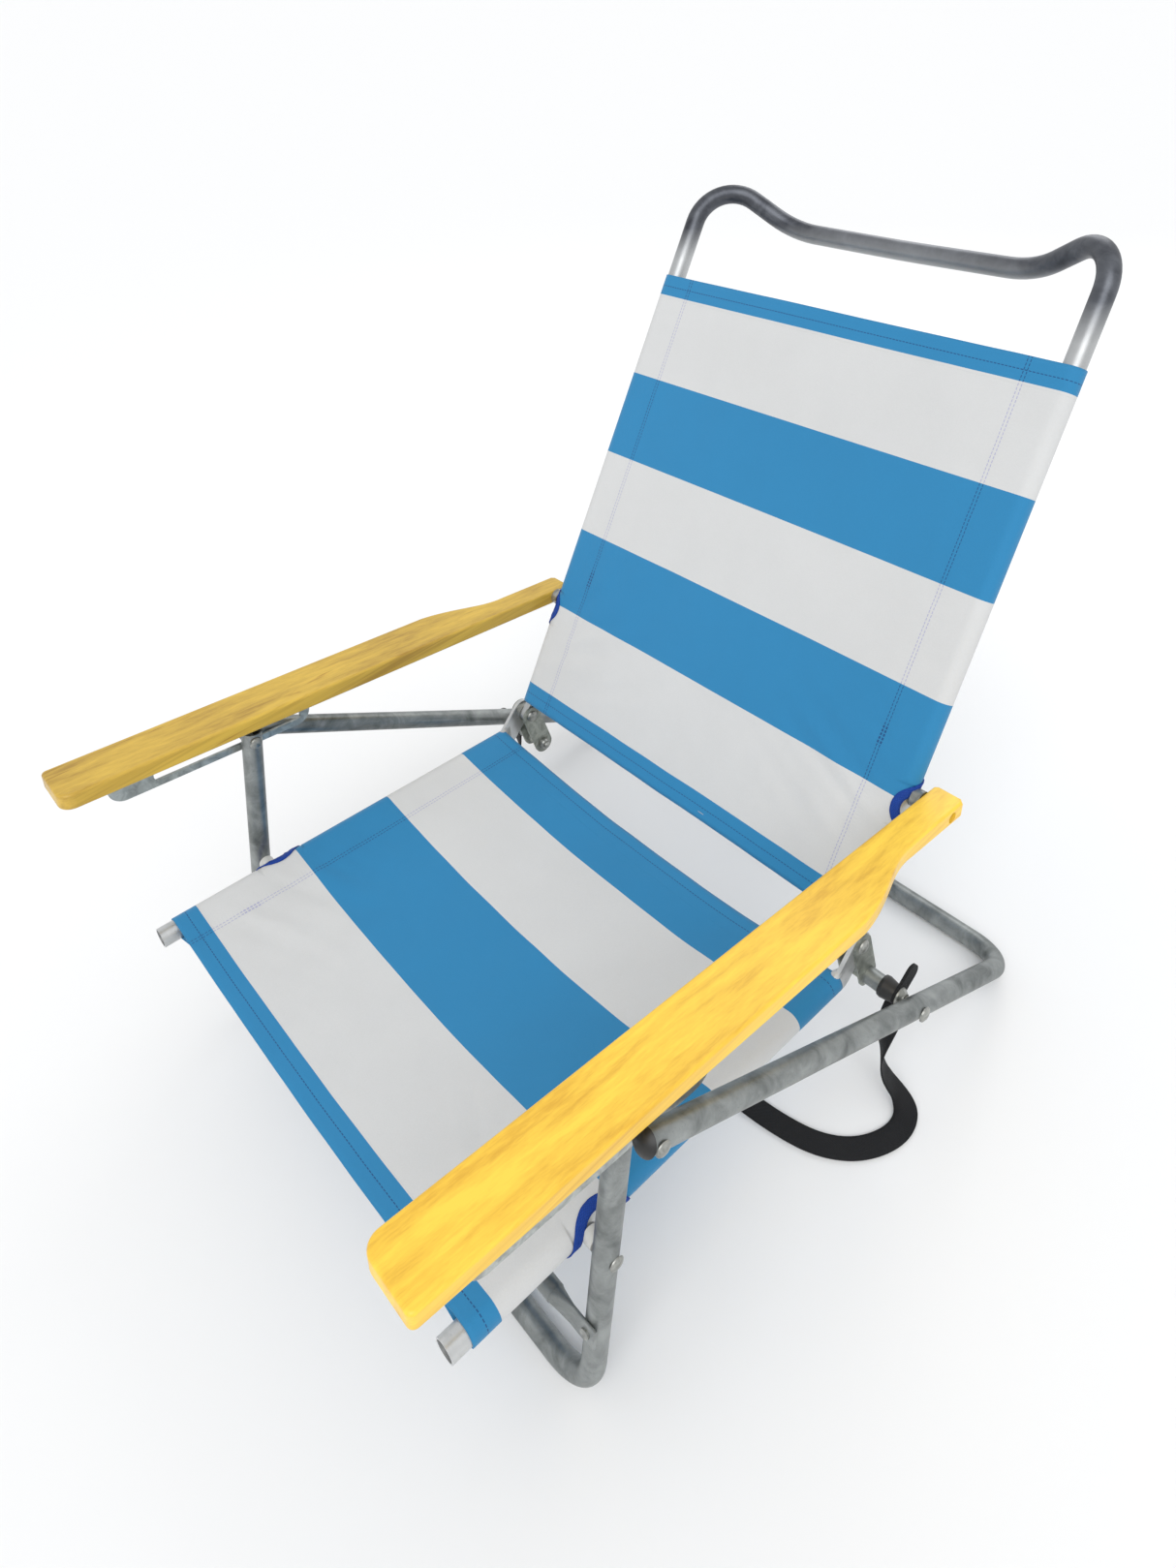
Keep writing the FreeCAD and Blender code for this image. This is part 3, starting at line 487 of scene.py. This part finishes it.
def finish_mesh(mesh, points, faces, coords):
    """Fill a mesh with faces and its cloth coordinates, smooth shaded."""
    mesh.from_pydata(points, [], faces)
    layer = mesh.uv_layers.new(name="cloth")
    for loop in mesh.loops:
        layer.data[loop.index].uv = coords[loop.vertex_index]
    for face in mesh.polygons:
        face.use_smooth = True
    mesh.update()
    return mesh


def add_object(mesh, material, body, thick):
    """Show a mesh as a piece of a given thickness that rides on a CAD body."""
    obj = bpy.data.objects.new(mesh.name, mesh)
    bpy.context.scene.collection.objects.link(obj)
    mesh.materials.append(material)
    solid = obj.modifiers.new("thickness", "SOLIDIFY")
    solid.thickness = thick
    solid.offset = 0.0
    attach(obj, body)
    return obj


NOTCH_TOP = math.radians(28)   # a notch starts this far outboard of the tube's top
NOTCH_UNDER = 0.008            # and ends this far along the lower layer
LEAST_DEPTH = 0.03             # a notch never closes quite to nothing


def notch_depth(t, cut):
    """How deep a notch is at t, from 0 at its two ends to 1 in its middle."""
    k = (2 * t - cut[0] - cut[1]) / (cut[1] - cut[0])
    return math.sqrt(max(0.0, 1.0 - k * k))


def notch_span(cloth, t, depth):
    """Across distances between which a sleeve is cut away at a notch of a given depth."""
    wrap_start = cloth.panel_edge(t) + WRAP_R * cloth.lean(t)
    top = wrap_start + WRAP_R * NOTCH_TOP
    under = wrap_start + WRAP_R * math.pi + NOTCH_UNDER
    return under - max(depth, LEAST_DEPTH) * (under - top), under


def spaced(low, high, count):
    """Evenly spaced values after low up to and including high."""
    return [low + (high - low) * (i + 1) / count for i in range(count)]


def sling_mesh(name, cloth, cut):
    """Cloth with a round notch in each sleeve between the two values of cut."""
    start, end = cloth.ends
    rows_at = spread(start, cut[0], 0.004)
    rows_at += spread(cut[0], cut[1], 0.002)[1:]
    rows_at += spread(cut[1], end, 0.004)[1:]
    flat = spread(0.0, cloth.half - NEAR_TUBE, 0.006)
    over_count, under_count = 36, 6
    points, coords, faces = [], [], []
    for t in rows_at:
        first, second = notch_span(cloth, t, notch_depth(t, cut))
        over = spaced(flat[-1], first, over_count)
        under = [second] + spaced(second, cloth.reach(t), under_count)
        right = flat + over + under
        for u in [-u for u in reversed(right[1:])] + right:
            points.append(cloth.point(u, t))
            coords.append((u, t))
    row_count = len(points) // len(rows_at)
    notch_columns = (under_count, row_count - 2 - under_count)
    for i in range(len(rows_at) - 1):
        t = (rows_at[i] + rows_at[i + 1]) / 2
        for j in range(row_count - 1):
            if j in notch_columns and cut[0] < t < cut[1]:
                continue
            a = i * row_count + j
            faces.append((a, a + 1, a + 1 + row_count, a + row_count))
    return finish_mesh(bpy.data.meshes.new(name), points, faces, coords)


BINDING_WIDE = 0.0075
BINDING_STEPS = 48
BINDING_SHARES = (-0.10, 0.0, 0.25, 0.5, 0.75, 1.0)    # across the tape; it starts inside the notch


def binding_mesh(name, cloth, cut, side):
    """Puckered tape folded over the curved edge of one notch."""
    half_t = (cut[1] - cut[0]) / 2
    rows = []
    for i in range(BINDING_STEPS + 1):
        turn = math.pi * i / BINDING_STEPS
        t = cut[0] + half_t * (1.0 - math.cos(turn))
        first, second = notch_span(cloth, t, math.sin(turn))
        deep = second - notch_span(cloth, t, 1.0)[0]
        away = Vector((-math.sin(turn) / deep, -math.cos(turn) / half_t))
        away.normalize()
        rows.append([])
        for share in BINDING_SHARES:
            grow = BINDING_WIDE * share
            ruffle = 0.0007 * noise.noise(Vector((i * 0.55, share * 2.0, side * 9.0)))
            lift = -0.0008 if share < 0 else 0.0013 + ruffle
            point = cloth.point(side * (first + away.x * grow), t + away.y * grow, lift)
            rows[-1].append((point, (grow, t)))
    return grid_mesh(name, rows)


# Blue bands, notches and ends of each cloth, measured along its tubes.
SEAT_STRIPES = [(0.0, 0.0384), (0.1466, 0.2591), (0.3610, 0.5000)]
BACK_STRIPES = [(0.0, 0.0404), (0.1387, 0.2333), (0.3282, 0.4235), (0.5150, 0.6000)]
SEAT_CUT = (0.105, 0.157)
BACK_CUT = (0.113, 0.157)
SEAT_ENDS = (0.016, 0.4225)
BACK_ENDS = (0.016, 0.538)
SEAT_TACK = 0.080
BACK_TACK = 0.185

CLOTH_THICK = 0.0010
TAPE_THICK = 0.0009
SEAT_SAG = 0.013           # everywhere, and up to as much again towards the middle
SEAT_SAG_LENGTH = 0.408
BACK_SAG = 0.005


def seat_sag(t):
    """Deepest in the middle of the seat, shallow at the hemmed ends."""
    k = (t - SEAT_ENDS[0]) / SEAT_SAG_LENGTH
    return SEAT_SAG + SEAT_SAG * math.sin(math.pi * min(1.0, k * 0.72 + 0.14)) ** 1.4


def back_sag(s):
    """Nearly flat, slightly hollow in the middle of the back."""
    return 0.0005 + BACK_SAG * math.sin(math.pi * fade(s, *BACK_ENDS))


def make_slings():
    """Both slings with their notch bindings."""
    binding = webbing_material("binding tape", BINDING_BLUE, 0.0021)
    plan = (
        ("seat", seat_place, SEAT_X, SEAT_ENDS, seat_sag, SEAT_CUT, SEAT_STRIPES, 2.0, SEAT_TACK),
        ("back", back_place, BACK_X, BACK_ENDS, back_sag, BACK_CUT, BACK_STRIPES, 11.0, BACK_TACK),
    )
    for name, place, half, ends, sag, cut, stripes, seed, tack in plan:
        cloth = Sling(place, half, ends, sag, seed, sum(cut) / 2)
        material = cloth_material(name + " cloth", ends, stripes, half - STITCH_INSET, tack)
        obj = add_object(sling_mesh(name + "_fabric", cloth, cut), material, name, CLOTH_THICK)
        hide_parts(name + "_sling")
        for side, word in ((1, "left"), (-1, "right")):
            mesh = binding_mesh(name + "_binding_" + word, cloth, cut, side)
            tape = add_object(mesh, binding, name, TAPE_THICK)
        width = 2 * cloth.reach(sum(ends) / 2)


# ---- strap ------------------------------------------------------------------------------

STRAP_WIDE = 0.022
STRAP_THICK = 0.0015
STRAP_BLACK = (0.012, 0.0125, 0.014)
STRAP_COLUMNS = 9
STRAP_SETTLE = 0.0065      # how far the flat strap lies below the round route on the ground
STRAP_POINTS = [
    (0.2835, 0.0434, 0.1092), (0.2810, 0.0306, 0.0860), (0.2830, 0.0216, 0.0580),
    (0.2900, 0.0196, 0.0340), (0.3030, 0.0256, 0.0170), (0.3170, 0.0206, 0.0094),
    (0.3220, 0.0006, 0.0083), (0.3150, -0.0234, 0.0086), (0.2990, -0.0454, 0.0083),
    (0.2730, -0.0624, 0.0086), (0.2380, -0.0714, 0.0083), (0.1980, -0.0764, 0.0086),
    (0.1560, -0.0784, 0.0083), (0.1100, -0.0774, 0.0086), (0.0640, -0.0724, 0.0083),
    (0.0180, -0.0634, 0.0086), (-0.0300, -0.0544, 0.0083), (-0.0780, -0.0474, 0.0086),
    (-0.1240, -0.0384, 0.0090), (-0.1660, -0.0254, 0.0120), (-0.2040, -0.0074, 0.0210),
    (-0.2380, 0.0126, 0.0400), (-0.2660, 0.0326, 0.0640), (-0.2810, 0.0426, 0.0880),
    (-0.2835, 0.0434, 0.1092),
]


def strap_line():
    """Points along the strap's centre line, read from a NURBS spline."""
    curve = bpy.data.curves.new("strap line", "CURVE")
    curve.dimensions = "3D"
    curve.resolution_u = 12
    spline = curve.splines.new("NURBS")
    spline.points.add(len(STRAP_POINTS) - 1)
    for target, point in zip(spline.points, STRAP_POINTS):
        target.co = (*point, 1.0)
    spline.order_u = 3
    spline.use_endpoint_u = True
    obj = bpy.data.objects.new("strap line", curve)
    bpy.context.scene.collection.objects.link(obj)
    bpy.context.view_layer.update()
    mesh = bpy.data.meshes.new_from_object(obj.evaluated_get(bpy.context.evaluated_depsgraph_get()))
    line = [v.co.copy() for v in mesh.vertices]
    bpy.data.objects.remove(obj)
    bpy.data.meshes.remove(mesh)
    return line


def strap_width_way(point, ahead):
    """Direction of the strap's width: along the pin at its ends, level where it lies on the ground."""
    high = fade(point.z, 0.060, 0.105)
    low = fade(point.z, 0.034, 0.012)
    at_pin = Vector((1.0, 0.0, 0.0))
    hanging = Vector((0.53, -0.85, 0.0))
    lying = ahead.cross(Vector((0.0, 0.0, 1.0))).normalized()
    if lying.dot(hanging) < 0 and point.x > 0.30:
        lying = -lying
    way = high * at_pin + low * lying + (1.0 - max(high, low)) * hanging
    return (way - way.dot(ahead) * ahead).normalized()


def make_strap():
    """Flat webbing strap, free between the two hinge pins."""
    line = strap_line()
    rows = []
    length = 0.0
    previous = None
    for i, point in enumerate(line):
        ahead = (line[min(i + 1, len(line) - 1)] - line[max(i - 1, 0)]).normalized()
        way = strap_width_way(point, ahead)
        if previous is not None:
            way = -way if way.dot(previous) < 0 else way
            way = 0.72 * previous + 0.28 * way
            way = (way - way.dot(ahead) * ahead).normalized()
            length += (point - line[i - 1]).length
        previous = way
        settle = STRAP_SETTLE * fade(point.z, 0.030, 0.012)
        centre = point - Vector((0.0, 0.0, settle))
        rows.append([])
        for k in range(STRAP_COLUMNS):
            w = (k / (STRAP_COLUMNS - 1) - 0.5) * STRAP_WIDE
            rows[-1].append((centre + way * w, (w, length)))
    material = webbing_material("strap webbing", STRAP_BLACK, 0.0024)
    obj = add_object(grid_mesh("carrying_strap", rows), material, "seat", STRAP_THICK)
    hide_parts("strap")


# ---- finishes on the CAD nodes ----------------------------------------------------------


def paint(material, *names):
    """Give CAD nodes one finish, for a name as it stands or for its left and right parts."""
    for name in names:
        for node in (name, name + "_left", name + "_right"):
            if node in nodes:
                nodes[node].data.materials.clear()
                nodes[node].data.materials.append(material)


def paint_nodes():
    """Every CAD node that stays visible gets its finish; the far arm's wood is painted darker than the lit
    near arm's, as painted shade.
    """
    tube = tube_material("oxidised tube", (0.10, 0.112, 0.110), (0.40, 0.42, 0.415), 0.40)
    back_tube = tube_material("back tube", (0.045, 0.048, 0.058), (0.17, 0.18, 0.20), 0.38, 0.655)
    clean = tube_material("bright tube", (0.46, 0.47, 0.47), (0.72, 0.73, 0.73), 0.34)
    plate = steel_material("hinge plate", (0.17, 0.185, 0.165), (0.36, 0.38, 0.34), 0.42)
    zinc = steel_material("bracket zinc", (0.28, 0.30, 0.29), (0.52, 0.55, 0.53), 0.36)
    rivet = steel_material("rivet", (0.20, 0.205, 0.19), (0.44, 0.445, 0.42), 0.32)
    black = plastic_material("black plastic", (0.010, 0.010, 0.010), 0.38)
    nylon = plastic_material("white nylon", (0.48, 0.48, 0.46), 0.42)
    # One wood in two copies: the near arm's colours as lit, the far arm's darker as painted shade.
    lit_near_wood = wood_material("arm wood left lit", (1.0, 0.65, 0.060), (0.73, 0.40, 0.028), 0.68)
    shaded_far_wood = wood_material("arm wood right painted shade", (0.66, 0.43, 0.055), (0.38, 0.22, 0.024), 0.58)
    paint(tube, "front_leg", "rear_leg", "front_brace", "spacer_tube")
    paint(back_tube, "back_frame")
    paint(clean, "seat_tube")
    paint(plate, "hinge_plate_inner", "hinge_plate_outer", "hinge_bush")
    paint(zinc, "bracket")
    paint(rivet, "hinge_rivet", "hinge_washer", "plate_pin", "dome_washer", "leg_pin", "leg_rivet",
          "rear_leg_rivet", "seat_pin", "arm_bolt", "arm_washer", "brace_rivet",
          "bracket_screw_rear", "bracket_screw_front")
    paint(nylon, "leg_washer_inner", "leg_washer_outer", "seat_spacer")
    paint(black, "plastic_spacer", "rear_leg_cap")
    paint(webbing_material("tab webbing", STRAP_BLACK, 0.0024, True), "strap_tab")
    paint(lit_near_wood, "arm_left")
    paint(shaded_far_wood, "arm_right")


# ---- room ---------------------------------------------------------------------------------


FLOOR_HALF = 60.0
LIT_SPOT = (0.0, 0.0, 0.3)     # every light points here


def make_floor():
    """Plain pale floor, wide enough to run out of the picture."""
    corners = [(x * FLOOR_HALF, y * FLOOR_HALF, 0) for x, y in ((-1, -1), (1, -1), (1, 1), (-1, 1))]
    mesh = bpy.data.meshes.new("floor")
    mesh.from_pydata(corners, [], [(0, 1, 2, 3)])
    floor = bpy.data.objects.new("floor", mesh)
    bpy.context.scene.collection.objects.link(floor)
    g = Graph("pale floor")
    g.surface(Base_Color=(0.86, 0.86, 0.86), Roughness=0.85, Specular_IOR_Level=0.1)
    mesh.materials.append(g.material)


def aim_light(name, data, place):
    """Put a light at a place, pointing at the chair."""
    light = bpy.data.objects.new(name, data)
    light.location = place
    light.rotation_mode = "QUATERNION"
    light.rotation_quaternion = (Vector(LIT_SPOT) - Vector(place)).to_track_quat("-Z", "Y")
    bpy.context.scene.collection.objects.link(light)


def add_sun(name, place, strength, softness):
    """Even light from one direction over the whole floor."""
    data = bpy.data.lights.new(name, "SUN")
    data.energy = strength
    data.angle = softness
    aim_light(name, data, place)


def add_area(name, place, size, power):
    """Square soft light that points at the chair."""
    data = bpy.data.lights.new(name, "AREA")
    data.size = size
    data.energy = power
    aim_light(name, data, place)


def make_light():
    """Bright even room, a soft key light from the near side and a faint rim light."""
    world = bpy.data.worlds.new("room")
    world.use_nodes = True
    background = world.node_tree.nodes["Background"]
    background.inputs["Color"].default_value = (0.98, 0.99, 1.0, 1.0)
    background.inputs["Strength"].default_value = 0.86
    bpy.context.scene.world = world
    add_sun("key", (0.9, -0.9, 1.7), 1.30, math.radians(50))
    add_area("rim", (-0.6, 1.7, 1.5), 1.0, 6.0)


make_camera()
make_strap()
make_slings()
paint_nodes()
make_floor()
make_light()
bpy.context.scene.view_settings.view_transform = "Standard"
